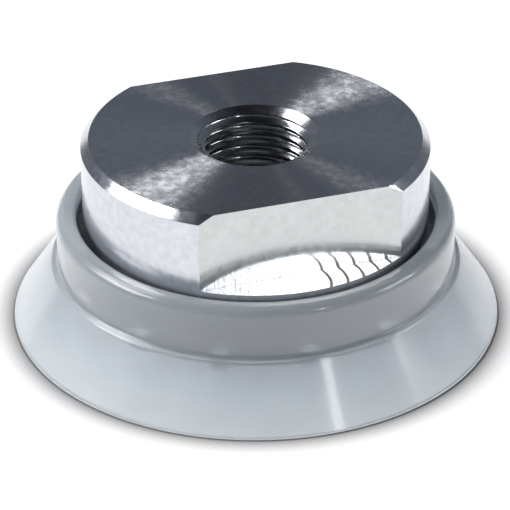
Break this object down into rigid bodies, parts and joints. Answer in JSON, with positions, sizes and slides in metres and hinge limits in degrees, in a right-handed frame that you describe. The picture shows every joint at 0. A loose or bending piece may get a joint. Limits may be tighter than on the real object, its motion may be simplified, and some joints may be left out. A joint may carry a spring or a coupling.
{
  "type": "vacuum suction cup",
  "caption": "Flat silicone suction cup with a collar round a turned aluminium fitting that has wrench flats and a threaded bore.",
  "frame": {"origin": "centre of the plane that the sealing lip rests on", "axes": "+Z along the cup's axis, towards the threaded bore's mouth; the two wrench flats face +Y and -Y"},
  "size_m": [0.056, 0.056, 0.0224],
  "materials": {
    "silicone": "translucent moulded silicone, satin",
    "turned_aluminium": "bright turned and milled",
    "plate_aluminium": "turned, plain",
    "screw_steel": "plain stainless",
    "filter_steel": "plain stainless"
  },
  "bodies": {
    "cup": {"suction_cup": "silicone"},
    "fitting": {"fitting_body": "turned_aluminium", "clamp_plate": "plate_aluminium", "clamp_screw_1": "screw_steel", "clamp_screw_2": "screw_steel", "clamp_screw_3": "screw_steel", "clamp_screw_4": "screw_steel", "clamp_screw_5": "screw_steel", "clamp_screw_6": "screw_steel", "filter_screen": "filter_steel", "filter_ring": "filter_steel"}
  },
  "joints": [
    {"name": "suction_stroke", "type": "slide", "parent": "cup", "child": "fitting", "axis": [0, 0, -1], "range_m": [0, 0.0031], "stiffness_N_per_m": 8000, "deforming": ["suction_cup"]}
  ]
}
